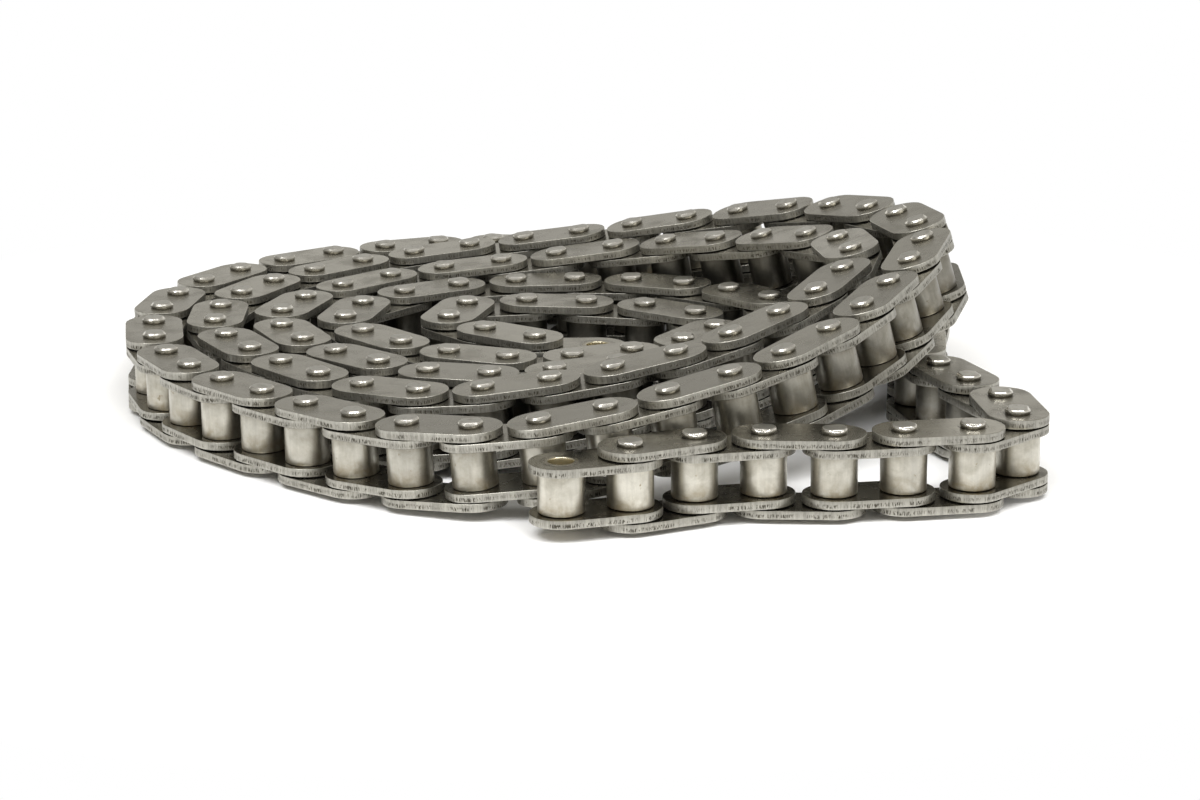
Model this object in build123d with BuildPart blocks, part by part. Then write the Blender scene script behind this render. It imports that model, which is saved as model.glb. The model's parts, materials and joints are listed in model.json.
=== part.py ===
"""Conveyor chain: a simplex roller chain with straight-sided plates, lying in a loose coil.

Origin at the middle of the coil on the surface it lies on, +Z up, millimetres. The pins stand upright,
so the chain lies on their riveted ends. The free end in front is built piece by piece, because every link
of it can swing. The links wound into the coil hold each other still, so there each one is a single joined
solid.
"""

from build123d import *
from bisect import bisect_left
from itertools import accumulate
from math import cos, dist, radians, sin
import os

# Chain sizes, those of a half-inch chain with straight plates.
pitch = 12.7
roller_diameter = 8.5
inner_width = 7.75
pin_diameter = 4.45
pin_length = 16.7
plate_thickness = 1.6
plate_height = 11.6
bush_diameter = 6.3
bush_mouth = 0.25  # edge break of a bush's bore
roller_rim = 0.3  # edge break of a roller

# Clearances.
plate_gap = 0.25  # between an inner plate and the outer plate over it
pin_play = 0.06  # on radius, pin in bush
roller_play = 0.08  # on radius, roller on bush
roller_end_play = 0.12  # between a roller's end and a plate
coil_pin_play = 0.25  # on radius, in the coil, whose links also lean a little against each other

# Riveted pin ends.
rivet_diameter = 4.75
rivet_top_diameter = 3.5
rivet_height = 0.6

# Heights above the middle plane of the chain.
inner_plate_low = inner_width / 2
outer_plate_low = inner_plate_low + plate_thickness + plate_gap
outer_plate_high = outer_plate_low + plate_thickness
middle_height = pin_length / 2
roller_length = inner_width - 2 * roller_end_play
bush_length = 2 * (inner_plate_low + plate_thickness)

# The middle of the lay, which comes to the origin.
lay_middle = (-7.77, -2.13)

# The free end: where it leaves the coil, and the way each link points from there outwards, in degrees.
tail_root = (65.8, -30.3)
tail_headings = (-69.5, -69, -83, -136.5, -172, -172.5, 176, -169.5, -155.5, -164.5)

# The coil's lay, read inwards from the free end: points that the line of the pins passes near.
buried_run = (
    (62.8, -18), (64, -6), (67, 12), (67.2, 29.5), (61.4, 49.6), (46.6, 66.2), (24, 76.9), (-2, 81),
    (-24, 84.7), (-46, 79.9), (-70, 66),
)  # fmt: skip
outer_turn = (
    (-86, 46), (-92, 19), (-89, -8), (-76.5, -32.5), (-57, -53.5), (-33.5, -72), (-17, -76.8), (5, -71),
    (28, -60.8), (46, -43.8), (57.5, -23.2), (65, -1.5), (61.8, 22), (51, 42), (31, 59), (6, 67.5), (-19, 71),
)  # fmt: skip
second_turn = (
    (-43, 67.6), (-62, 56), (-76, 36), (-79.5, 10), (-70, -13.5), (-54, -34.5), (-33, -49.5), (-10, -49),
    (13, -43.5), (32.5, -30.8), (45.2, -15), (51, 3.5),
)  # fmt: skip
third_turn = (
    (45.5, 25), (29, 41), (8, 53.5), (-17, 55), (-43, 49.5), (-60, 34), (-66.5, 13), (-59, -8), (-43, -26),
    (-24, -37), (0, -34), (20, -26),
)  # fmt: skip
fourth_turn = (
    (33, -10), (37.3, 9), (29, 22), (12, 36), (-9, 41.5), (-33, 38.5), (-48.8, 26), (-52.2, 8.5),
    (-43.5, -6), (-30, -17.6), (-14, -23), (4, -18.5),
)  # fmt: skip
inner_turn = (
    (18, -8.5), (24, 4), (14, 18), (-3, 23.5), (-21, 25), (-33, 19), (-28.5, 7), (-18.5, -3),
    (-8, -7.8), (3, -4), (6, 5),
)  # fmt: skip
turns = (buried_run, outer_turn, second_turn, third_turn, fourth_turn, inner_turn)
turn_names = ("buried_run", "outer_turn", "second_turn", "third_turn", "fourth_turn", "inner_turn")

# The right side of the coil lies on the buried run, so the coil lies on a gently dished slope.
slope_direction = radians(7)
slope_start = -62.0
slope_end = 66.0
slope_rise = 19.4
# Share of the slope that each turn follows where it begins and where it ends: the buried run lies flat,
# the next two turns follow the slope, and the turns inside sink back to flat.
slope_shares = {
    "buried_run": (0, 0),
    "outer_turn": (1, 1),
    "second_turn": (1, 1),
    "third_turn": (1, 0.3),
    "fourth_turn": (0.3, 0),
    "inner_turn": (0, 0),
}

# The next pin along the lay is looked for this far on, as shares of a pitch, halving the way this often.
nearest_pin = 0.5
farthest_pin = 1.3
halvings = 30

# A coil link's plate has its corners on the round ends of a real one, this far round from the link's line.
flat_angle = radians(30)
coil_pin_sides = 6
coil_roller_sides = 8


def rise(x, y, share):
    """Height and steepness of the slope under a point of the coil. share is 0 for turns that lie flat."""
    along = max(x * cos(slope_direction) + y * sin(slope_direction) - slope_start, 0)
    span = slope_end - slope_start
    return share * slope_rise * (along / span) ** 2, share * 2 * slope_rise * along / span**2


def upright(x, y, share):
    """The way a pin stands: square to the slope."""
    steepness = rise(x, y, share)[1]
    return Vector(-steepness * cos(slope_direction), -steepness * sin(slope_direction), 1).normalized()


class Station:
    """One pin of the chain: the point at its middle and the way that it stands."""

    def __init__(self, x, y, share=0.0):
        self.up = upright(x, y, share)
        tip = Vector(x - lay_middle[0], y - lay_middle[1], pin_length + rise(x, y, share)[0])
        self.point = tip - self.up * middle_height


def tail_stations():
    """Pins of the free end, from the coil outwards, all upright on the surface."""
    x, y = tail_root
    stations = [Station(x, y)]
    for heading in tail_headings:
        x += pitch * cos(radians(heading))
        y += pitch * sin(radians(heading))
        stations.append(Station(x, y))
    return stations


def coil_stations():
    """Pins of the coil with the names of their turns, one pitch apart along a smooth line through the lay."""
    points = [tail_root, *[point for turn in turns for point in turn]]
    with BuildLine() as lay:
        Spline(*points)
    line = lay.edge()
    run = [0, *accumulate(dist(*ends) for ends in zip(points, points[1:]))]
    turn_ends = [run[sum(map(len, turns[: number + 1]))] / run[-1] for number in range(len(turns))]

    def station_at(position):
        turn = bisect_left(turn_ends[:-1], position)
        start = turn_ends[turn - 1] if turn else 0
        part_of_turn = (position - start) / (turn_ends[turn] - start)
        first_share, last_share = slope_shares[turn_names[turn]]
        share = first_share + (last_share - first_share) * part_of_turn
        point = line.position_at(position)
        return Station(point.X, point.Y, share), turn_names[turn]

    stations = [station_at(0)]
    position = 0
    step = pitch / line.length
    while position + farthest_pin * step < 1:
        here = stations[-1][0].point
        low = position + nearest_pin * step
        high = position + farthest_pin * step
        for _ in range(halvings):
            position = (low + high) / 2
            if (station_at(position)[0].point - here).length < pitch:
                low = position
            else:
                high = position
        stations.append(station_at(position))
    return stations


def link_place(first, second):
    """Frame of a link: origin at the middle of its first pin, X to the second pin, Z the way they stand."""
    along = (second.point - first.point).normalized()
    up = first.up + second.up
    return Plane(origin=first.point, x_dir=along, z_dir=up - along * up.dot(along))


tail = tail_stations()[::-1]  # T0 is the open end, T10 the pin at the coil
coil = coil_stations()  # the first one is T10 again
pins_of_link = [Location((0, 0, 0)), Location((pitch, 0, 0))]


# Pieces of the free end, each in the frame of its link.


def flat_plate(low, hole_diameter):
    """A side plate with full-round ends and two holes, its underside at the height low."""
    with BuildPart() as plate:
        with BuildSketch(Plane.XY.offset(low)):
            with Locations((pitch / 2, 0)):
                SlotCenterToCenter(pitch, plate_height)
            with Locations((0, 0), (pitch, 0)):
                Circle(hole_diameter / 2, mode=Mode.SUBTRACT)
        extrude(amount=plate_thickness)
    return plate.part


def lathe_piece(profile):
    """A round piece about the Z axis, from the corners of half its section as (radius, height)."""
    with BuildPart() as piece:
        with BuildSketch(Plane.XZ):
            with BuildLine():
                Polyline(*profile, close=True)
            make_face()
        revolve(axis=Axis.Z)
    return piece.part


# Pin: a straight shank through the plates and a flared, riveted head on the outer face of each outer plate.
shank = pin_diameter / 2
head = rivet_diameter / 2
head_top = rivet_top_diameter / 2
head_shoulder = middle_height - rivet_height
pin = lathe_piece([
    (0, -middle_height), (head_top, -middle_height), (head, -head_shoulder), (head, -outer_plate_high),
    (shank, -outer_plate_high), (shank, outer_plate_high), (head, outer_plate_high), (head, head_shoulder),
    (head_top, middle_height), (0, middle_height),
])  # fmt: skip

# Bush: pressed into both inner plates and flush with them, its bore broken at the mouths.
bush_bore = pin_diameter / 2 + pin_play
bush = lathe_piece([
    (bush_bore + bush_mouth, -bush_length / 2), (bush_diameter / 2, -bush_length / 2),
    (bush_diameter / 2, bush_length / 2), (bush_bore + bush_mouth, bush_length / 2),
    (bush_bore, bush_length / 2 - bush_mouth), (bush_bore, -bush_length / 2 + bush_mouth),
])  # fmt: skip

# Roller: free on its bush between the inner plates, its rims broken.
roller_bore = bush_diameter / 2 + roller_play
roller = lathe_piece([
    (roller_bore, -roller_length / 2), (roller_diameter / 2 - roller_rim, -roller_length / 2),
    (roller_diameter / 2, -roller_length / 2 + roller_rim),
    (roller_diameter / 2, roller_length / 2 - roller_rim),
    (roller_diameter / 2 - roller_rim, roller_length / 2), (roller_bore, roller_length / 2),
])  # fmt: skip

upper_inner_plate = flat_plate(inner_plate_low, bush_diameter)
lower_inner_plate = flat_plate(-inner_plate_low - plate_thickness, bush_diameter)
upper_outer_plate = flat_plate(outer_plate_low, pin_diameter)
lower_outer_plate = flat_plate(-outer_plate_high, pin_diameter)


# Links of the coil, each one solid. There are many of them, so their round shapes have a few flats.


def flat_ended_plate():
    """Outline of a coil link's plate."""
    half = plate_height / 2
    reach = half * cos(flat_angle)
    side = half * sin(flat_angle)
    Polygon(
        (0, half), (-reach, side), (-reach, -side), (0, -half),
        (pitch, -half), (pitch + reach, -side), (pitch + reach, side), (pitch, half),
        align=None,
    )  # fmt: skip


with BuildPart() as coil_pin_link:
    for low in (outer_plate_low, -outer_plate_high):
        with BuildSketch(Plane.XY.offset(low)):
            flat_ended_plate()
        extrude(amount=plate_thickness)
    with BuildSketch(Plane.XY.offset(-middle_height)):
        with Locations(*pins_of_link):
            RegularPolygon(pin_diameter / 2, coil_pin_sides)
    extrude(amount=pin_length)

with BuildPart() as coil_roller_link:
    for low in (inner_plate_low, -inner_plate_low - plate_thickness):
        with BuildSketch(Plane.XY.offset(low)):
            flat_ended_plate()
        extrude(amount=plate_thickness)
    with BuildSketch(Plane.XY.offset(-inner_plate_low)):
        with Locations(*pins_of_link):
            RegularPolygon(roller_diameter / 2, coil_roller_sides)
    extrude(amount=inner_width)
    with BuildSketch(Plane.XY.offset(-bush_length / 2)):
        with Locations(*pins_of_link):
            RegularPolygon(pin_diameter / 2 + coil_pin_play, coil_pin_sides, major_radius=False)
    extrude(amount=bush_length, mode=Mode.SUBTRACT)


def export_group(name, piece, places):
    """Write one or more equal pieces, each a solid of its own, to one file."""
    with BuildPart() as group:
        with Locations(*places):
            add(piece, clean=False)
    group.part.label = name
    export_step(group.part, f"parts/{name}.step")


os.makedirs("parts", exist_ok=True)

# The free end. Link 01 is the open one in front, and links with odd numbers are roller links.
roller_number = 0
for number in range(1, len(tail)):
    place = link_place(tail[number - 1], tail[number]).location
    both_pins = [place * spot for spot in pins_of_link]
    name = f"link_{number:02d}"
    if number % 2:
        export_group(f"{name}_upper_plate", upper_inner_plate, [place])
        export_group(f"{name}_lower_plate", lower_inner_plate, [place])
        export_group(f"{name}_bushes", bush, both_pins)
        for spot in both_pins:
            roller_number += 1
            export_group(f"roller_{roller_number:02d}", roller, [spot])
    else:
        export_group(f"{name}_upper_plate", upper_outer_plate, [place])
        export_group(f"{name}_lower_plate", lower_outer_plate, [place])
        export_group(f"{name}_pins", pin, both_pins)

# The roller link that joins the free end to the coil is built like those of the free end.
place = link_place(coil[0][0], coil[1][0]).location
both_pins = [place * spot for spot in pins_of_link]
export_group("joining_link_upper_plate", upper_inner_plate, [place])
export_group("joining_link_lower_plate", lower_inner_plate, [place])
export_group("joining_link_bushes", bush, both_pins)
export_group("joining_link_rollers", roller, both_pins)

# The coil: the links of each turn, pin links and roller links apart.
for turn_name in turn_names:
    pin_link_places, roller_link_places = [], []
    for number in range(1, len(coil) - 1):
        if coil[number][1] == turn_name:
            places = pin_link_places if number % 2 else roller_link_places
            places.append(link_place(coil[number][0], coil[number + 1][0]).location)
    export_group(f"{turn_name}_pin_links", coil_pin_link.part, pin_link_places)
    export_group(f"{turn_name}_roller_links", coil_roller_link.part, roller_link_places)
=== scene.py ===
import bpy
import json
import numpy as np
from math import radians
from mathutils import Matrix, Vector


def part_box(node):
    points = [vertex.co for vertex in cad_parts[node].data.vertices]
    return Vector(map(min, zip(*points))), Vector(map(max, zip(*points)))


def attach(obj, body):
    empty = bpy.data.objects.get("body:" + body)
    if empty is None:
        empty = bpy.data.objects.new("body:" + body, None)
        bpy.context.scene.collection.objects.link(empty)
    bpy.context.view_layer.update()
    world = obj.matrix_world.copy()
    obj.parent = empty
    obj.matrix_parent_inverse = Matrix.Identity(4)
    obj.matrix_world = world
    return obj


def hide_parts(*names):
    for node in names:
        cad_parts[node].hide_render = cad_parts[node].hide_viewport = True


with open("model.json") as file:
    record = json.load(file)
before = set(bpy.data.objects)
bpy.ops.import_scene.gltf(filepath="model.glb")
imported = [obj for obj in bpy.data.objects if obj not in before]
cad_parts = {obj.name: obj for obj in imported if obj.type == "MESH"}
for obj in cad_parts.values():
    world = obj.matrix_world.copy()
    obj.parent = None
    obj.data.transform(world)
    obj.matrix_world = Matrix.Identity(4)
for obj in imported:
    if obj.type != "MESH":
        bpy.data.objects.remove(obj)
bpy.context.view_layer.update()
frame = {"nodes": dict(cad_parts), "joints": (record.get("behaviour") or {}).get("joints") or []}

# sizes of the chain in metres, the same as in the solids
chain = {
    "pitch": 0.0127,
    "plateHeight": 0.0116,
    "plateThickness": 0.0016,
    "innerPlateLow": 0.003875,
    "outerPlateLow": 0.005725,
    "pinRadius": 0.002225,
    "pinHalfLength": 0.00835,
    "bushRadius": 0.00315,
    "bushHalfLength": 0.005475,
    "boreRadius": 0.002285,
    "rollerRadius": 0.00425,
    "rollerBore": 0.00323,
    "rollerHalfLength": 0.003755,
}
shades = np.random.default_rng(12)


# Quads between the rows of a grid of points, whose columns run round and close on themselves.
def gridFaces(rows, columns, closedRows=False):
    r, c = np.meshgrid(np.arange(rows if closedRows else rows - 1), np.arange(columns), indexing="ij")
    r0, c0 = r.ravel(), c.ravel()
    r1, c1 = (r0 + 1) % rows, (c0 + 1) % columns
    return np.stack([r0 * columns + c0, r0 * columns + c1, r1 * columns + c1, r1 * columns + c0], 1)


# Points (r cos a, r sin a, z) for each corner (r, z) of a profile and each angle a. The profile closes
# on itself, or its two ends are capped.
def lathe(profile, columns, closed=False):
    r, z = np.array(profile).T
    a = np.linspace(0, 2 * np.pi, columns, endpoint=False)
    points = np.stack([np.outer(r, np.cos(a)), np.outer(r, np.sin(a)), np.outer(z, np.ones(columns))], 2)
    faces = gridFaces(len(r), columns, closed).tolist()
    if not closed:
        faces += [list(range(columns))[::-1], list(range((len(r) - 1) * columns, len(r) * columns))]
    return {"points": points.reshape(-1, 3), "faces": faces}


# A shape is a dictionary of points, faces and shares, which are one number for each point. A place is
# three directions and a middle: the shape's own x, y and z times the directions, plus the middle, is
# where a point lands. Every copy keeps its own x, y and z, moved by a random step, as grainPlace, so
# that a pattern on it follows the link and no two links look alike. Its steel is brighter or darker by
# a link tone, from somewhere between the two tones, times the shape's own tone; where the tones are low
# for pieces that lie in shade, this is painted shade.
def newPiece(name, shapes, places, material, tones=(0.88, 1.1), sharpAngle=38):
    directions = np.array([place[0] for place in places])
    middles = np.array([place[1] for place in places])
    steps = shades.uniform(0, 0.3, (len(places), 1, 3))
    tone = shades.uniform(*tones, len(places))
    points, grain, faces, values, start = [], [], [], {}, 0
    for shape in shapes:
        own, count = shape["points"], len(shape["points"])
        points.append((np.einsum("pi,lij->lpj", own, directions) + middles[:, None]).reshape(-1, 3))
        grain.append((own[None] + steps).reshape(-1, 3))
        firsts = start + count * np.arange(len(places))
        faces += [[i + first for i in face] for first in firsts.tolist() for face in shape["faces"]]
        shares = dict(shape.get("shares", {}), linkToneAndShade=np.full(count, shape.get("tone", 1.0)))
        for label, share in shares.items():
            repeated = np.outer(tone, share) if label == "linkToneAndShade" else np.tile(share, (len(places), 1))
            values.setdefault(label, []).append(repeated.ravel())
        start += count * len(places)
    mesh = bpy.data.meshes.new(name)
    mesh.from_pydata(np.concatenate(points).tolist(), [], faces)
    place = mesh.attributes.new("grainPlace", "FLOAT_VECTOR", "POINT")
    place.data.foreach_set("vector", np.concatenate(grain).astype(np.float32).ravel())
    for label, share in values.items():
        attribute = mesh.attributes.new(label, "FLOAT", "POINT")
        attribute.data.foreach_set("value", np.concatenate(share).astype(np.float32))
    mesh.polygons.foreach_set("use_smooth", [True] * len(mesh.polygons))
    mesh.set_sharp_from_angle(angle=radians(sharpAngle))
    mesh.materials.append(material)
    piece = bpy.data.objects.new(name, mesh)
    bpy.context.scene.collection.objects.link(piece)
    return piece


# Place of a link between two pins: X along it, Z the way its pins stand.
def linkPlace(first, second):
    along = (second - first).normalized()
    up = Vector((0, 0, 1))
    up = (up - along * up.dot(along)).normalized()
    return np.array([along, up.cross(along), up]), np.array((first + second) / 2)


# Place of each solid of a coil node. Corners that share a triangle get the lowest of their labels, over
# and over, until each solid has one label. Its middle is the mean of its corners, and its directions
# are those of their spread: widest along the link, narrowest across it, and upright between the two.
def solidPlaces(node):
    mesh = frame["nodes"][node].data
    corners = np.zeros(len(mesh.vertices) * 3)
    mesh.vertices.foreach_get("co", corners)
    points, index = np.unique(corners.reshape(-1, 3).round(7), axis=0, return_inverse=True)
    loops = np.zeros(len(mesh.loops), int)
    mesh.loops.foreach_get("vertex_index", loops)
    triangles = index.ravel()[loops].reshape(-1, 3)
    label = np.arange(len(points))
    settled = False
    while not settled:
        lowest = label.copy()
        np.minimum.at(lowest, triangles.ravel(), np.repeat(label[triangles].min(1), 3))
        lowest = lowest[lowest]
        settled = np.array_equal(lowest, label)
        label = lowest
    places = []
    for solid in np.unique(label):
        cloud = points[label == solid]
        middle = cloud.mean(0)
        spread = np.linalg.eigh(np.cov((cloud - middle).T))[1].T
        along, up = spread[2], spread[1]
        up = up * np.sign(up[2])
        places.append((np.array([along, np.cross(up, along), up]), middle))
    return places


pivots = {joint["name"]: Vector(joint["pos_m"]) for joint in frame["joints"]}
tailPins = [pivots[f"roller_{k:02d}_spin"] for k in range(1, 11)] + [pivots["joint_10"]]
low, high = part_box("joining_link_upper_plate")
joiningMiddle = (Vector(low) + Vector(high)) / 2
joiningMiddle.z = tailPins[10].z
joiningPins = [tailPins[10], 2 * joiningMiddle - tailPins[10]]
print("links placed")


platePiece = {
    "edgeRound": 0.0001,  # worn edge of the plates in the free end, metres
    "endFacets": 24,  # around a round end there
    "coilEdge": 0.00007,
    "coilEndFacets": 12,
    "pressRing": 0.00045,  # the ring that the press leaves around a bush or a pin
}


# The outline of a plate round its hole at +X, moved in by inset: a half circle, then the straight sides
# and the cut across the middle of the plate as evenly spaced points.
def plateOutline(inset, endFacets):
    half, reach = chain["plateHeight"] / 2 - inset, chain["pitch"] / 2
    a = np.linspace(-np.pi / 2, np.pi / 2, endFacets + 1)
    end = np.stack([reach + half * np.cos(a), half * np.sin(a)], 1)
    x = np.linspace(reach, 0, 4)[1:]
    side = np.stack([x, np.full(3, half)], 1)
    y = np.linspace(half, -half, 7)[1:-1]
    cut = np.stack([np.zeros(5), y], 1)
    return np.concatenate([end, side, cut, side[::-1] * (1, -1)])


# What the steel of a plate needs at each point. depthShare goes from its underside to its top, and
# another share goes from its outer face to the face between the rollers, where oil collects and where that
# face is darkened as painted shade.
def plateShares(points, low, edge, press):
    depth = (points[:, 2] - low) / chain["plateThickness"]
    oilAndShade = 1 - depth if low > 0 else depth
    return {"edgeShare": edge, "pressShare": press, "depthShare": depth, "oilAndShadeShare": oilAndShade}


# A plate with two holes. Each half is a grid that closes on itself: its rows go up the wall of the hole,
# out over the top, down the rounded edge and back under. The faces on the cut are left out, and the
# other half is its mirror image.
def holedPlate(low, holeRadius):
    e, n, ring = platePiece["edgeRound"], platePiece["endFacets"], platePiece["pressRing"]
    high = low + chain["plateThickness"]
    outline = plateOutline(0, n)
    centre = np.array([chain["pitch"] / 2, 0])
    outward = (outline - centre) / np.linalg.norm(outline - centre, axis=1)[:, None]
    s = 1 - np.sqrt(0.5)
    rows = [(centre + holeRadius * outward, low, 0, 0), (centre + holeRadius * outward, high, 0, 0.5)]
    rows += [(centre + (holeRadius + r * ring) * outward, high, 0, share) for r, share in ((1, 1), (2.2, 0))]
    steps = [(2, 0, 0), (1, 0, 0.25), (s, s, 0.6), (0, 1, 1)]
    rows += [(plateOutline(i * e, n), high - d * e, share, 0) for i, d, share in steps]
    rows += [(plateOutline(i * e, n), low + d * e, share, 0) for i, d, share in steps[::-1]]
    half = np.concatenate([np.c_[flat, np.full(len(flat), z)] for flat, z, edge, press in rows])
    faces = gridFaces(len(rows), len(outline), closedRows=True)
    faces = faces[np.abs(half[faces][:, :, 0]).max(1) > 1e-7]
    both = np.concatenate([half, half * (-1, 1, 1)])
    faces = np.concatenate([faces[:, ::-1], faces + len(half)])
    points, first, index = np.unique(both.round(9), axis=0, return_index=True, return_inverse=True)
    edge = np.tile(np.repeat([row[2] for row in rows], len(outline)), 2)
    press = np.tile(np.repeat([row[3] for row in rows], len(outline)), 2)
    shares = plateShares(points, low, edge[first], press[first])
    return {"points": points, "faces": index.ravel()[faces].tolist(), "shares": shares}


# A plate whose holes are filled by its pins or bushes: its outline at four heights, and two caps. Its
# tone darkens it as painted shade.
def plainPlate(low, tone=1.0):
    e, n = platePiece["coilEdge"], platePiece["coilEndFacets"]
    high = low + chain["plateThickness"]
    rings = []
    for inset, z in ((e, low), (0, low + e), (0, high - e), (e, high)):
        end = plateOutline(inset, n)[: n + 1]
        flat = np.concatenate([end, -end])
        rings.append(np.c_[flat, np.full(len(flat), z)])
    count = len(rings[0])
    faces = gridFaces(4, count).tolist() + [list(range(count))[::-1], list(range(3 * count, 4 * count))]
    points = np.concatenate(rings)
    shares = plateShares(points, low, np.repeat([0.3, 1, 1, 0.3], count), np.zeros(4 * count))
    return {"points": points, "faces": faces, "shares": shares, "tone": tone}


pinPiece = {
    "headRadius": 0.002375,  # where the riveted head bulges most
    "topRadius": 0.00208,
    "footRadius": 0.00226,
    "flatHalf": 0.0017,  # half width of the flat that the riveting leaves along the link
    "fall": 0.0004,  # of the pressed shoulder on each side of the flat
    "turn": 18,  # degrees that a pin may be turned either way
    "rows": (0.0, 0.001, 0.0015, 0.0017, 0.0018, 0.0019, 0.002),
    "coilRows": (0.0, 0.0012, 0.0017, 0.00198),
}


# The end of a pin, as a grid over a disc: rows are lines across the disc at the heights y, and columns
# share each row out evenly. The flat lies along x, and on both sides of it is a pressed shoulder:
# z = top - fall (0.6 s + 0.4 s^2), where s goes from 0 to 1 from the edge of the flat to that of the disc.
def pinEnd(rows, columns):
    r, half = pinPiece["topRadius"], pinPiece["flatHalf"]
    y = np.concatenate([-np.array(rows[:0:-1]), rows])
    x = np.outer(np.sqrt(r * r - y * y), np.sin(np.linspace(-np.pi / 2, np.pi / 2, columns)))
    y = np.repeat(y[:, None], columns, 1)
    s = np.clip((np.abs(y) - half) / (r - half), 0, 1)
    z = chain["pinHalfLength"] - pinPiece["fall"] * (0.6 * s + 0.4 * s * s)
    return np.stack([x, y, z], 2), np.minimum(3 * s, 1)


# The corners round the border of a grid of labels.
def borderOf(label):
    return np.concatenate([label[0, :-1], label[:-1, -1], label[-1, :0:-1], label[:0:-1, 0]])


# Quads between the rows of a grid of labels, and closed round if its columns come back to the start.
def quads(label, closed=False):
    after = np.roll(label, -1, 1)
    if not closed:
        label, after = label[:, :-1], after[:, :-1]
    return np.stack([label[:-1], label[1:], after[1:], after[:-1]], 2).reshape(-1, 4)


# A riveted pin: an end grid, and rings down the bulging wall of the head to its foot, given by shares of
# the way out and of the way down. The other half of a pin in the free end is its mirror image. In the
# coil, where that end is out of sight, it is a plain cap. riseShare is 0 at the foot of a head.
def rivetedPin(rows, columns, fine=True):
    foot = chain["outerPlateLow"] + chain["plateThickness"]
    grid, burnish = pinEnd(rows, columns)
    label = np.arange(len(grid) * columns).reshape(len(grid), columns)
    border = borderOf(label)
    rim = grid.reshape(-1, 3)[border]
    outward = rim[:, :2] / np.linalg.norm(rim[:, :2], axis=1)[:, None]
    span = pinPiece["headRadius"] - pinPiece["topRadius"]
    steps = [(0.65, 0.1, 1), (1, 0.32, 0.75), (1, 0.62, 0.4)]
    rings = [(pinPiece["topRadius"] + out * span, rim[:, 2] + down * (foot - rim[:, 2]), share)
             for out, down, share in steps[0 if fine else 1:]]
    rings.append((pinPiece["footRadius"], np.full(len(rim), foot), 0))
    rings.append((chain["pinRadius"], np.full(len(rim), 0 if fine else -chain["pinHalfLength"]), 0))
    points = np.concatenate([grid.reshape(-1, 3)] + [np.c_[outward * r, z] for r, z, share in rings])
    burnish = np.concatenate([burnish.ravel()] + [np.full(len(rim), share) for r, z, share in rings])
    wall = np.concatenate([border[None], label.size + np.arange(len(rings) * len(rim)).reshape(-1, len(rim))])
    faces = quads(label)[:, ::-1].tolist() + quads(wall, closed=True).tolist()
    if fine:
        waist = wall[-1]
        mirrored = np.arange(len(points), 2 * len(points))
        mirrored[waist] = waist
        faces += [[mirrored[i] for i in face[::-1]] for face in faces]
        points, burnish = np.concatenate([points, points * (1, 1, -1)]), np.tile(burnish, 2)
        kept, index = np.unique(np.concatenate(faces), return_inverse=True)
        faces = index.reshape(-1, 4).tolist()
        points, burnish = points[kept], burnish[kept]
    else:
        faces.append(wall[-1].tolist()[::-1])
    rise = np.clip((np.abs(points[:, 2]) - foot) / (chain["pinHalfLength"] - foot), 0, 1)
    return {"points": points, "faces": faces, "shares": {"burnishShare": burnish, "riseShare": rise}}


rollerPiece = {"rim": 0.0003, "facets": 48, "coilFacets": 20}


# How high a point lies in a shape, from 0 to 1.
def withHeight(shape):
    z = shape["points"][:, 2]
    shape["shares"] = {"heightShare": (z - z.min()) / np.ptp(z)}
    return shape


# A roller: a tube with rounded rims, as a closed profile turned about the pin. In the coil, where bushes
# and pins hide its bore, it is closed.
def rollerShape(fine=True):
    h, c = chain["rollerHalfLength"], rollerPiece["rim"]
    r, bore = chain["rollerRadius"], chain["rollerBore"]
    if fine:
        rim = [(r - c, h), (r - 0.4 * c, h - 0.1 * c), (r - 0.1 * c, h - 0.4 * c), (r, h - c), (r, 0.34 * h)]
        profile = [(bore, -h)] + [(a, -z) for a, z in rim] + [(a, z) for a, z in rim[::-1]] + [(bore, h)]
        return withHeight(lathe(profile, rollerPiece["facets"], closed=True))
    profile = [(r - 0.3 * c, -h), (r, -h + c), (r, h - c), (r - 0.3 * c, h)]
    return withHeight(lathe(profile, rollerPiece["coilFacets"]))


bushPiece = {"mouth": 0.0002, "facets": 40}


# A bush: a tube flush with the inner plates, with a rounded mouth at each end. faceShare is 1 outside the
# mouth, on the flat faces.
def bushShape():
    h, m = chain["bushHalfLength"], bushPiece["mouth"]
    bore, r = chain["boreRadius"], chain["bushRadius"]
    side = [(bore, h - m), (bore + 0.12 * m, h - 0.5 * m), (bore + 0.45 * m, h - 0.14 * m), (bore + m, h)]
    side += [(bore + 1.2 * m, h), (r - 0.3 * m, h), (r, h - 0.3 * m)]
    bush = withHeight(lathe([(a, -z) for a, z in side[::-1]] + side, bushPiece["facets"], closed=True))
    out = np.linalg.norm(bush["points"][:, :2], axis=1)
    bush["shares"]["faceShare"] = np.clip((out - bore - m) / (0.2 * m), 0, 1)
    return bush


# One more node in a tree. An input is a plain value or another node's socket.
def put(tree, kind, inputs={}, **settings):
    node = tree.nodes.new("ShaderNode" + kind)
    for key, value in settings.items():
        setattr(node, key, value)
    fill(tree, node, inputs)
    return node


def fill(tree, node, inputs):
    for key, value in inputs.items():
        if isinstance(value, bpy.types.NodeSocket):
            tree.links.new(value, node.inputs[key])
        else:
            node.inputs[key].default_value = value


# An empty shader node group with named sockets, each given as its kind and its name.
def newGroup(name, inputs, outputs):
    tree = bpy.data.node_groups.new(name, "ShaderNodeTree")
    for direction, sockets in (("INPUT", inputs), ("OUTPUT", outputs)):
        for kind, label in sockets:
            tree.interface.new_socket(label, in_out=direction, socket_type="NodeSocket" + kind)
    return tree, tree.nodes.new("NodeGroupInput").outputs, tree.nodes.new("NodeGroupOutput").inputs


def useGroup(tree, group, inputs):
    node = tree.nodes.new("ShaderNodeGroup")
    node.node_tree = group
    fill(tree, node, inputs)
    return node.outputs


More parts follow.
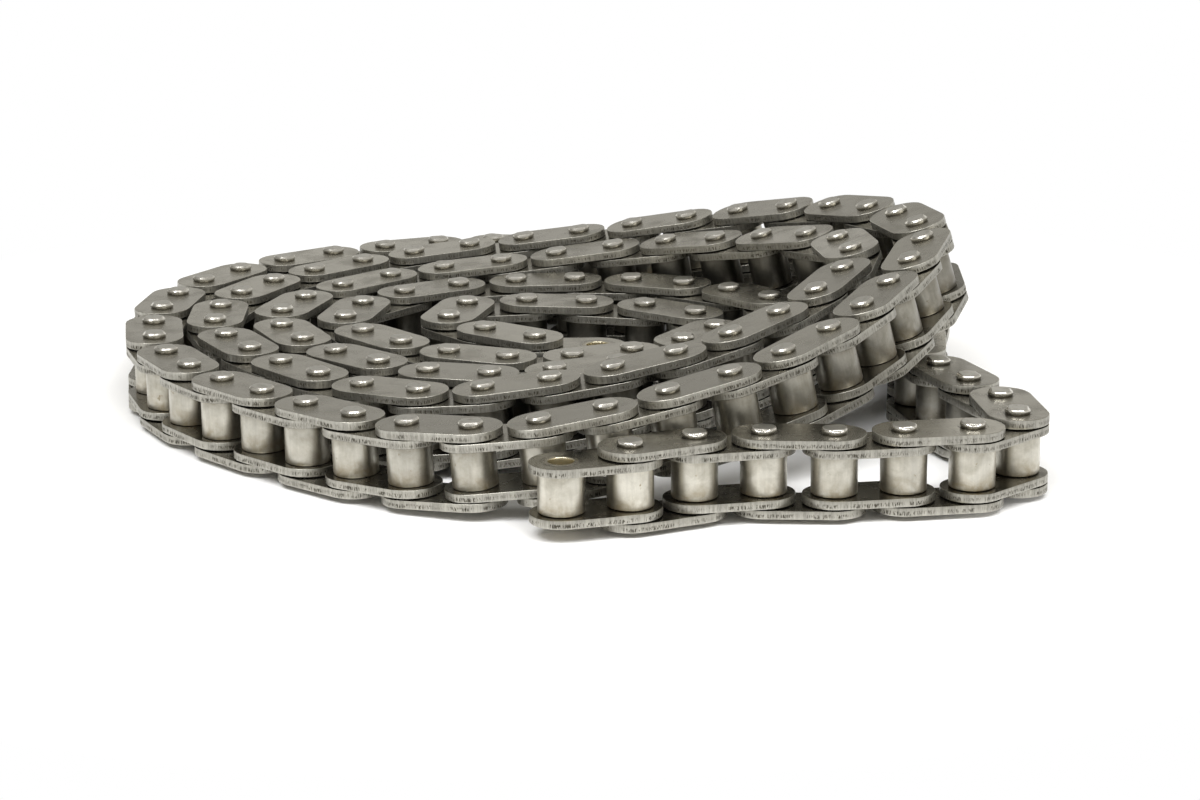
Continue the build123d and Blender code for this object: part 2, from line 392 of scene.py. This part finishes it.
# Fine grain of worked steel: fine and coarse noise, stretched along the way it was rolled or ground, as
# a shade near 1 and as a height.
def makeGrain():
    inputs = [("Vector", "Vector"), ("Vector", "Stretch"), ("Float", "Scale"), ("Float", "Amount")]
    tree, given, out = newGroup("steelGrain", inputs, [("Float", "Shade"), ("Float", "Height")])
    place = {0: given["Vector"], 1: given["Stretch"]}
    place = put(tree, "VectorMath", place, operation="MULTIPLY").outputs[0]
    fine = {"Vector": place, "Scale": given["Scale"], "Detail": 4.0, "Roughness": 0.65}
    fine = put(tree, "TexNoise", fine)
    wide = put(tree, "Math", {0: given["Scale"], 1: 0.17}, operation="MULTIPLY").outputs[0]
    coarse = put(tree, "TexNoise", {"Vector": place, "Scale": wide, "Detail": 3.0})
    both = put(tree, "Math", {0: fine.outputs[0], 1: coarse.outputs[0]}, operation="ADD").outputs[0]
    centred = put(tree, "Math", {0: both, 1: 1.0}, operation="SUBTRACT").outputs[0]
    shade = put(tree, "Math", {0: centred, 1: given["Amount"], 2: 1.0}, operation="MULTIPLY_ADD").outputs[0]
    tree.links.new(shade, out["Shade"])
    tree.links.new(fine.outputs[0], out["Height"])
    return tree


# Cloudy patches, such as oil film, stain or specks: 0 where the noise is under Start, 1 over Full.
def makeFilm():
    inputs = [("Vector", "Vector"), ("Float", "Scale"), ("Float", "Start"), ("Float", "Full")]
    tree, given, out = newGroup("oilFilm", inputs, [("Float", "Mask")])
    cloud = {"Vector": given["Vector"], "Scale": given["Scale"], "Detail": 5.0}
    cloud = put(tree, "TexNoise", dict(cloud, Roughness=0.6, Distortion=0.4)).outputs[0]
    mask = put(tree, "MapRange", {0: cloud, 1: given["Start"], 2: given["Full"]}).outputs[0]
    tree.links.new(mask, out["Mask"])
    return tree


grainGroup, filmGroup = makeGrain(), makeFilm()


def readShare(tree, label):
    return put(tree, "Attribute", attribute_name=label).outputs["Fac"]


# A bare material, and the place on its link that all its patterns read.
def blank(name):
    material = bpy.data.materials.new(name)
    material.use_nodes = True
    tree = material.node_tree
    tree.nodes.clear()
    return material, tree, put(tree, "Attribute", attribute_name="grainPlace").outputs["Vector"]


# Colour a turned into colour b by a share.
def mixed(tree, share, a, b):
    return put(tree, "Mix", {0: share, 6: a, 7: b}, data_type="RGBA").outputs[2]


# A colour times a grey value.
def scaled(tree, colour, shade):
    node = put(tree, "VectorMath", {0: colour}, operation="SCALE")
    tree.links.new(shade, node.inputs["Scale"])
    return node.outputs[0]


# One sum or product, for the masks.
def maths(tree, operation, *values):
    return put(tree, "Math", dict(enumerate(values)), operation=operation).outputs[0]


def ramp(tree, value, start, end, low=0.0, high=1.0):
    return put(tree, "MapRange", {0: value, 1: start, 2: end, 3: low, 4: high}).outputs[0]


# The end of every steel: a metal with its own colour, roughness and bump.
def finishSteel(tree, colour, roughness, height, depth):
    bump = put(tree, "Bump", {"Height": height, "Strength": 1.0, "Distance": depth}).outputs[0]
    values = {"Base Color": colour, "Roughness": roughness, "Metallic": 1.0, "Normal": bump}
    shader = put(tree, "BsdfPrincipled", values)
    output = put(tree, "OutputMaterial")
    tree.links.new(shader.outputs[0], output.inputs[0])


plateFinish = {
    "face": (0.44, 0.421, 0.362, 1),
    "stain": (0.31, 0.292, 0.245, 1),
    "speck": (0.12, 0.11, 0.085, 1),
    # dark brown oil, also used as painted shade on the faces between the rollers
    "oilAndShade": (0.105, 0.096, 0.072, 1),
    "edge": (0.42, 0.408, 0.365, 1),
    "tear": (0.075, 0.067, 0.05, 1),
    "rim": (0.46, 0.447, 0.405, 1),
    "faceRoughness": 0.22,
    "edgeRoughness": 0.42,
}


# Punched plates: faces rolled along the link, with oil film and specks, and sheared edges, torn upright
# in the lower middle of the thickness and smooth above, with a line worn bright along the corners.
# The faces between the rollers are darkened with oil and painted shade.
def makePlateSteel():
    material, tree, place = blank("plateSteel")
    edge, depth = readShare(tree, "edgeShare"), readShare(tree, "depthShare")
    tone, press = readShare(tree, "linkToneAndShade"), readShare(tree, "pressShare")
    rolled = {"Vector": place, "Stretch": (0.12, 1.0, 1.0), "Scale": 2600.0, "Amount": 0.26}
    grain = useGroup(tree, grainGroup, rolled)
    film = useGroup(tree, filmGroup, {"Vector": place, "Scale": 150.0, "Start": 0.46, "Full": 0.7})["Mask"]
    specks = {"Vector": place, "Scale": 1100.0, "Start": 0.71, "Full": 0.76}
    specks = useGroup(tree, filmGroup, specks)["Mask"]
    oilAndShade = readShare(tree, "oilAndShadeShare")
    # Oil and painted shade: the face between the rollers turns mostly into the dark colour.
    oilAndShadeMix = maths(tree, "MULTIPLY", oilAndShade, ramp(tree, film, 0.0, 1.0, 0.62, 0.95))
    face = mixed(tree, film, plateFinish["face"], plateFinish["stain"])
    face = mixed(tree, oilAndShadeMix, face, plateFinish["oilAndShade"])
    face = mixed(tree, maths(tree, "MULTIPLY", specks, 0.7), face, plateFinish["speck"])
    broken = useGroup(tree, filmGroup, {"Vector": place, "Scale": 900.0, "Start": 0.38, "Full": 0.55})["Mask"]
    pressMark = maths(tree, "MULTIPLY", ramp(tree, press, 0.55, 0.9, 0.0, 0.85), broken)
    face = mixed(tree, pressMark, face, plateFinish["speck"])
    # The link tone: random, and painted shade on links that lie in shade.
    face = scaled(tree, scaled(tree, face, grain["Shade"]), tone)

    upright = put(tree, "VectorMath", {0: place, 1: (1.0, 1.0, 0.2)}, operation="MULTIPLY").outputs[0]
    tears = {"Vector": upright, "Scale": 4800.0, "Detail": 2.0, "Roughness": 0.6}
    tears = put(tree, "TexNoise", tears).outputs[0]
    clusters = put(tree, "TexNoise", {"Vector": place, "Scale": 300.0, "Detail": 2.0}).outputs[0]
    level = maths(tree, "ADD", depth, maths(tree, "MULTIPLY_ADD", clusters, 0.5, -0.25))
    away = maths(tree, "ABSOLUTE", maths(tree, "SUBTRACT", level, 0.42))
    torn = maths(tree, "MULTIPLY", ramp(tree, away, 0.3, 0.14), ramp(tree, tears, 0.48, 0.56))
    torn = maths(tree, "MULTIPLY", torn, ramp(tree, clusters, 0.38, 0.55, 0.2, 0.95))
    lines = put(tree, "VectorMath", {0: place, 1: (1.0, 1.0, 0.05)}, operation="MULTIPLY").outputs[0]
    lines = put(tree, "TexNoise", {"Vector": lines, "Scale": 2600.0, "Detail": 2.0}).outputs[0]
    side = mixed(tree, torn, plateFinish["edge"], plateFinish["tear"])
    # Oil and painted shade: the edges darken a little towards the face between the rollers.
    side = mixed(tree, maths(tree, "MULTIPLY", oilAndShade, 0.22), side, plateFinish["oilAndShade"])
    side = scaled(tree, side, ramp(tree, lines, 0.3, 0.7, 0.74, 1.16))
    onEdge = ramp(tree, edge, 0.45, 0.75)
    worn = ramp(tree, maths(tree, "ABSOLUTE", maths(tree, "SUBTRACT", edge, 0.5)), 0.35, 0.05)
    colour = mixed(tree, onEdge, face, side)
    colour = mixed(tree, maths(tree, "MULTIPLY", worn, 0.5), colour, plateFinish["rim"])

    tornEdge = maths(tree, "MULTIPLY", torn, onEdge)
    faceRough = maths(tree, "MULTIPLY_ADD", film, 0.12, plateFinish["faceRoughness"])
    rough = {0: onEdge, 2: faceRough, 3: plateFinish["edgeRoughness"]}
    rough = put(tree, "Mix", rough, data_type="FLOAT").outputs[0]
    rough = maths(tree, "MULTIPLY_ADD", tornEdge, 0.3, rough)
    height = maths(tree, "MULTIPLY_ADD", tornEdge, -4.0, grain["Height"])
    finishSteel(tree, colour, rough, height, 0.00001)
    return material


rollerFinish = {
    "steel": (0.54, 0.52, 0.458, 1),
    "dull": (0.41, 0.388, 0.328, 1),
    "tan": (0.26, 0.205, 0.12, 1),
    "roughness": 0.33,
}


# Rollers: drawn steel with faint upright streaks, dull patches, and a tan oil stain near the foot.
def makeRollerSteel():
    material, tree, place = blank("rollerSteel")
    height = readShare(tree, "heightShare")
    drawn = {"Vector": place, "Stretch": (1.0, 1.0, 0.08), "Scale": 1300.0, "Amount": 0.4}
    streaks = useGroup(tree, grainGroup, drawn)
    pores = {"Vector": place, "Stretch": (1.0, 1.0, 1.0), "Scale": 3200.0, "Amount": 0.2}
    pores = useGroup(tree, grainGroup, pores)
    film = useGroup(tree, filmGroup, {"Vector": place, "Scale": 230.0, "Start": 0.42, "Full": 0.66})["Mask"]
    spots = useGroup(tree, filmGroup, {"Vector": place, "Scale": 620.0, "Start": 0.66, "Full": 0.73})["Mask"]
    cloud = useGroup(tree, filmGroup, {"Vector": place, "Scale": 380.0, "Start": 0.36, "Full": 0.66})["Mask"]
    foot = maths(tree, "MULTIPLY", ramp(tree, height, 0.5, 0.02), cloud)
    crown = maths(tree, "MULTIPLY", ramp(tree, height, 0.86, 1.0, 0.0, 0.5), cloud)
    tan = maths(tree, "MAXIMUM", maths(tree, "MAXIMUM", foot, crown), spots)
    tan = maths(tree, "MULTIPLY", tan, 0.8)
    colour = mixed(tree, film, rollerFinish["steel"], rollerFinish["dull"])
    colour = mixed(tree, tan, scaled(tree, colour, streaks["Shade"]), rollerFinish["tan"])
    # The link tone: random, and painted shade on rollers that lie in shade.
    colour = scaled(tree, scaled(tree, colour, pores["Shade"]), readShare(tree, "linkToneAndShade"))
    rough = maths(tree, "MULTIPLY_ADD", tan, 0.25, rollerFinish["roughness"])
    finishSteel(tree, colour, maths(tree, "MULTIPLY_ADD", film, 0.08, rough), pores["Height"], 0.000008)
    return material


pinFinish = {
    "flat": (0.56, 0.545, 0.50, 1),
    "burnished": (0.72, 0.70, 0.65, 1),
    "stain": (0.24, 0.215, 0.165, 1),
    "foot": (0.06, 0.052, 0.036, 1),  # oil, and painted shade, in the corner between head and plate
    "flatRoughness": 0.3,
    "burnishedRoughness": 0.15,
}


# Pins: dull on the flat, burnished where the riveting pressed them.
def makePinSteel():
    material, tree, place = blank("pinSteel")
    burnish, rise = readShare(tree, "burnishShare"), readShare(tree, "riseShare")
    grain = {"Vector": place, "Stretch": (1.0, 1.0, 1.0), "Scale": 2400.0, "Amount": 0.22}
    grain = useGroup(tree, grainGroup, grain)
    film = useGroup(tree, filmGroup, {"Vector": place, "Scale": 700.0, "Start": 0.52, "Full": 0.72})["Mask"]
    colour = mixed(tree, burnish, pinFinish["flat"], pinFinish["burnished"])
    colour = mixed(tree, maths(tree, "MULTIPLY", film, 0.4), colour, pinFinish["stain"])
    # Oil and painted shade: dark towards the foot of each head.
    colour = mixed(tree, ramp(tree, rise, 0.7, 0.1, 0.0, 0.92), colour, pinFinish["foot"])
    rough = ramp(tree, burnish, 0.0, 1.0, pinFinish["flatRoughness"], pinFinish["burnishedRoughness"])
    rough = maths(tree, "MULTIPLY_ADD", film, 0.16, rough)
    finishSteel(tree, scaled(tree, colour, grain["Shade"]), rough, grain["Height"], 0.00001)
    return material


bushFinish = {
    "mouth": (0.72, 0.66, 0.50, 1),
    "face": (0.42, 0.40, 0.345, 1),
    "oiled": (0.42, 0.37, 0.25, 1),
    "roughness": 0.22,
}


# Bushes: yellowish case-hardened steel, oily in the bore.
def makeBushSteel():
    material, tree, place = blank("bushSteel")
    grain = {"Vector": place, "Stretch": (1.0, 1.0, 0.3), "Scale": 2600.0, "Amount": 0.24}
    grain = useGroup(tree, grainGroup, grain)
    film = useGroup(tree, filmGroup, {"Vector": place, "Scale": 620.0, "Start": 0.42, "Full": 0.7})["Mask"]
    height = readShare(tree, "heightShare")
    inside = ramp(tree, maths(tree, "ABSOLUTE", maths(tree, "SUBTRACT", height, 0.5)), 0.49, 0.44)
    oil = maths(tree, "MAXIMUM", maths(tree, "MULTIPLY", film, 0.6), maths(tree, "MULTIPLY", inside, 0.7))
    colour = mixed(tree, readShare(tree, "faceShare"), bushFinish["mouth"], bushFinish["face"])
    colour = scaled(tree, mixed(tree, oil, colour, bushFinish["oiled"]), grain["Shade"])
    rough = maths(tree, "MULTIPLY_ADD", oil, 0.15, bushFinish["roughness"])
    finishSteel(tree, colour, rough, grain["Height"], 0.00001)
    return material


plateSteel, rollerSteel = makePlateSteel(), makeRollerSteel()
pinSteel, bushSteel = makePinSteel(), makeBushSteel()
print("materials made")


# Both pin places of each link.
def pinSpots(places):
    reach = chain["pitch"] / 2
    return [(axes, middle + side * reach * axes[0]) for axes, middle in places for side in (-1, 1)]


# Both pins of each link, each turned a little about its own line.
def pinTurns(places):
    turned = []
    for axes, middle in pinSpots(places):
        angle = radians(shades.uniform(-pinPiece["turn"], pinPiece["turn"]))
        along, across, up = axes
        turned.append((np.array([np.cos(angle) * along + np.sin(angle) * across,
                                 np.cos(angle) * across - np.sin(angle) * along, up]), middle))
    return turned


# A finished piece: it rides on a body, and stands for CAD nodes if any. Its slot is not used.
def settle(piece, slot, body, *nodes):
    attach(piece, body)
    if nodes:
        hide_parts(*nodes)


innerLow, outerLow, thick = chain["innerPlateLow"], chain["outerPlateLow"], chain["plateThickness"]
innerPlates = [holedPlate(innerLow, chain["bushRadius"]), holedPlate(-innerLow - thick, chain["bushRadius"])]
outerPlates = [holedPlate(outerLow, chain["pinRadius"]), holedPlate(-outerLow - thick, chain["pinRadius"])]
finePin, fineRoller, fineBush = rivetedPin(pinPiece["rows"], 9), rollerShape(), bushShape()


# A roller link built piece by piece: two plates, two bushes and their rollers.
# Its tone makes its plates and rollers brighter or darker; for a link in shade it is painted shade.
def rollerLink(title, node, body, place, rollers, tone=1.0):
    for plate, side in zip(innerPlates, ("upper", "lower")):
        piece = newPiece(f"{title}{side.capitalize()}Plate", [plate], [place], plateSteel, (tone, tone))
        settle(piece, "plates", body, f"{node}_{side}_plate")
    spots = pinSpots([place])
    settle(newPiece(f"{title}Bushes", [fineBush], spots, bushSteel), "bushes", body, f"{node}_bushes")
    for rollerTitle, rollerNode, rollerBody, rollerSpots in rollers(spots):
        piece = newPiece(rollerTitle, [fineRoller], rollerSpots, rollerSteel, (0.95 * tone, 1.05 * tone))
        settle(piece, "rollers", rollerBody, rollerNode)


# A pin link: two plates and two riveted pins.
# Its tone makes its plates brighter or darker; for a link in shade it is painted shade.
def pinLink(title, node, body, place, tone=1.0):
    for plate, side in zip(outerPlates, ("upper", "lower")):
        piece = newPiece(f"{title}{side.capitalize()}Plate", [plate], [place], plateSteel, (tone, tone))
        settle(piece, "plates", body, f"{node}_{side}_plate")
    settle(newPiece(f"{title}Pins", [finePin], pinTurns([place]), pinSteel), "pins", body, f"{node}_pins")


tailToneAndShade = (1.05, 0.9, 1.0, 0.98, 1.0, 1.12, 1.0, 0.85, 0.5, 0.7)  # of the links, from the open end; the darker ones next to the coil are painted shade
for number, tone in enumerate(tailToneAndShade, 1):
    place = linkPlace(tailPins[number - 1], tailPins[number])
    title, node = f"link{number:02d}", f"link_{number:02d}"
    if number % 2:
        own = [(f"roller{k:02d}", f"roller_{k:02d}") for k in (number, number + 1)]
        rollerLink(title, node, node, place,
                   lambda spots: [(t, n, n, [spot]) for (t, n), spot in zip(own, spots)], tone)
    else:
        pinLink(title, node, node, place, tone)
joining = "joining_link"
# Painted shade: the joining link, next to the coil, is darkened to 0.6.
rollerLink("joiningLink", joining, "coil", linkPlace(*joiningPins),
           lambda spots: [("joiningLinkRollers", joining + "_rollers", "coil", spots)], 0.6)
print("free end made")


# The roller link at the inner end of the coil: the one with an end where no pin link ends.
def innerEndOf(pinLinks, rollerLinks):
    pins = np.array([middle for axes, middle in pinSpots(pinLinks)])
    ends = np.array([middle for axes, middle in pinSpots(rollerLinks)])
    nearest = np.linalg.norm(ends[:, None] - pins, axis=2).min(1)
    return int(nearest.argmax()) // 2


# The coil, turn by turn, from the places of its solids.
coilPin, coilRoller = rivetedPin(pinPiece["coilRows"], 3, fine=False), rollerShape(fine=False)
coilTones = {
    "outside": (0.8, 1.0),
    "rollersShadedWithin": (0.28, 0.45),  # painted shade: the rollers of the turns inside are darkened
    "raisedDarkening": 0.32,  # how much darker the rollers get to the right, where the coil rises
    "raisedFrom": 0.015,
    "raisedTo": 0.055,
    # painted shade: the inner plates of the turns inside are darkened
    "innerPlatesShadedWithin": (0.55, 0.8),
    "lowerShadeWithin": 0.45,  # painted shade on the lower plates of the turns inside, times the tone of their link
}


# An upper and a lower plate of the coil; the lower one takes a tone, painted shade on the turns inside.
def platePair(low, lowerShade):
    return [plainPlate(low), plainPlate(-low - thick, lowerShade)]


for turn in ("buried_run", "outer_turn", "second_turn", "third_turn", "fourth_turn", "inner_turn"):
    words = turn.split("_")
    title = words[0] + words[1].capitalize()
    pinLinks, rollerLinks = solidPlaces(turn + "_pin_links"), solidPlaces(turn + "_roller_links")
    if turn == "inner_turn":
        endPlace = [rollerLinks.pop(innerEndOf(pinLinks, rollerLinks))]
        endSpots = pinSpots(endPlace)
        settle(newPiece("innerEndPlates", innerPlates, endPlace, plateSteel), "plates", "coil")
        settle(newPiece("innerEndBushes", [fineBush], endSpots, bushSteel), "bushes", "coil")
        settle(newPiece("innerEndRollers", [fineRoller], endSpots, rollerSteel), "rollers", "coil")
    # Painted shade: the lower plates of the turns inside are darker.
    lowerShade = 1.0 if turn == "outer_turn" else coilTones["lowerShadeWithin"]
    plates = newPiece(title + "OuterPlates", platePair(outerLow, lowerShade), pinLinks, plateSteel)
    settle(plates, "plates", "coil", turn + "_pin_links")
    plateTones = coilTones["outside" if turn == "outer_turn" else "innerPlatesShadedWithin"]
    plates = platePair(innerLow, lowerShade)
    plates = newPiece(title + "InnerPlates", plates, rollerLinks, plateSteel, plateTones)
    settle(plates, "plates", "coil", turn + "_roller_links")
    pins = newPiece(title + "Pins", [coilPin], pinTurns(pinLinks), pinSteel)
    settle(pins, "pins", "coil")
    rollerTones = coilTones["rollersShadedWithin"]
    if turn == "outer_turn":
        right = np.array([middle[0] for axes, middle in pinSpots(rollerLinks)]) - coilTones["raisedFrom"]
        share = np.clip(right / (coilTones["raisedTo"] - coilTones["raisedFrom"]), 0, 1)
        rollerTones = [tone - coilTones["raisedDarkening"] * share for tone in coilTones["outside"]]
    rollers = newPiece(title + "Rollers", [coilRoller], pinSpots(rollerLinks), rollerSteel, rollerTones)
    settle(rollers, "rollers", "coil")
print("coil made")


studio = {
    "floorHalf": 6.0,
    "floorColour": (0.94, 0.94, 0.94, 1),
    "shadowReach": (0.1, 0.2),  # metres from the middle, over which the floor turns into plain white
    "horizon": 1.0,  # brightness of the room at eye level
    "dome": 0.55,  # straight above
    "shadeSide": 0.335,  # of the belt between the two, at the back left
    "brightSide": 0.65,  # of the same belt, to the right
    "wall": (1, 0.975, 0.91, 1),  # colour of the room
    "lampPower": 9.0,
    "lampSize": (0.7, 0.5),  # metres
    "lampPlace": (0.36, -0.6, 0.9),  # of the right softbox; the left one stands at -x
}


# The floor is pale paper near the chain, where it shows the shadow, and plain white further off for the
# rays that show the background: camera, glossy and transmission rays.
def makeFloor():
    h, z = studio["floorHalf"], -0.00006
    mesh = bpy.data.meshes.new("floor")
    mesh.from_pydata([(-h, -h, z), (h, -h, z), (h, h, z), (-h, h, z)], [], [(0, 1, 2, 3)])
    floor = bpy.data.objects.new("floor", mesh)
    bpy.context.scene.collection.objects.link(floor)
    material = bpy.data.materials.new("floorPaper")
    material.use_nodes = True
    tree = material.node_tree
    tree.nodes.clear()
    paper = put(tree, "BsdfDiffuse", {"Color": studio["floorColour"]}).outputs[0]
    white = put(tree, "Emission", {"Strength": 1.0}).outputs[0]
    path = put(tree, "LightPath").outputs
    seen = maths(tree, "MAXIMUM", path["Is Camera Ray"], path["Is Glossy Ray"])
    seen = maths(tree, "MAXIMUM", seen, path["Is Transmission Ray"])
    spot = put(tree, "TexCoord").outputs["Object"]
    away = put(tree, "VectorMath", {0: spot}, operation="LENGTH").outputs["Value"]
    share = maths(tree, "MULTIPLY", seen, ramp(tree, away, *studio["shadowReach"]))
    both = put(tree, "MixShader", {0: share, 1: paper, 2: white}).outputs[0]
    output = put(tree, "OutputMaterial")
    tree.links.new(both, output.inputs[0])
    mesh.materials.append(material)


# The room: bright at the horizon and softer above, with a belt between the two that is dark at the back
# left and brighter to the right. Camera rays see plain white.
def makeRoom():
    world = bpy.data.worlds.new("room")
    bpy.context.scene.world = world
    world.use_nodes = True
    tree = world.node_tree
    tree.nodes.clear()
    direction = put(tree, "TexCoord").outputs["Generated"]
    parts = put(tree, "SeparateXYZ", {0: direction}).outputs
    toLeft = maths(tree, "SUBTRACT", parts["Z"], maths(tree, "MULTIPLY", parts["X"], 0.9))
    belt = ramp(tree, toLeft, 0.12, 0.34, studio["brightSide"], studio["shadeSide"])
    low = ramp(tree, parts["Z"], 0.08, 0.31)
    level = put(tree, "Mix", {0: low, 2: studio["horizon"], 3: belt}, data_type="FLOAT").outputs[0]
    above = ramp(tree, parts["Z"], 0.55, 0.85)
    level = put(tree, "Mix", {0: above, 2: level, 3: studio["dome"]}, data_type="FLOAT").outputs[0]
    seen = put(tree, "LightPath").outputs["Is Camera Ray"]
    level = put(tree, "Mix", {0: seen, 2: level, 3: 1.0}, data_type="FLOAT").outputs[0]
    colour = mixed(tree, seen, studio["wall"], (1, 1, 1, 1))
    back = put(tree, "Background", {"Color": colour, "Strength": level}).outputs[0]
    output = put(tree, "OutputWorld")
    tree.links.new(back, output.inputs[0])


def makeLamp(name, place, target, width, height, power):
    lamp = bpy.data.lights.new(name, "AREA")
    lamp.shape = "RECTANGLE"
    lamp.size, lamp.size_y, lamp.energy = width, height, power
    holder = bpy.data.objects.new(name, lamp)
    bpy.context.scene.collection.objects.link(holder)
    holder.location = place
    holder.rotation_euler = (Vector(target) - Vector(place)).to_track_quat("-Z", "Y").to_euler()


view = {
    "place": (0.00777, -0.60747, 0.168),
    "downward": 15.37,  # degrees
    "roll": -0.5,
    "lens": 92.55,
}


def makeCamera():
    camera = bpy.data.cameras.new("camera")
    camera.sensor_width = 36
    camera.lens = view["lens"]
    camera.clip_start, camera.clip_end = 0.01, 100
    holder = bpy.data.objects.new("camera", camera)
    bpy.context.scene.collection.objects.link(holder)
    tilt = Matrix.Rotation(radians(90 - view["downward"]), 4, "X")
    roll = Matrix.Rotation(radians(view["roll"]), 4, "Z")
    holder.matrix_world = Matrix.Translation(view["place"]) @ tilt @ roll
    bpy.context.scene.camera = holder


makeFloor()
makeRoom()
across, depth, height = studio["lampPlace"]
makeLamp("leftSoftbox", (-across, depth, height), (0, 0, 0), *studio["lampSize"], studio["lampPower"])
makeLamp("rightSoftbox", (across, depth, height), (0, 0, 0), *studio["lampSize"], studio["lampPower"])
makeCamera()
bpy.context.scene.view_settings.view_transform = "Standard"
print("studio made")
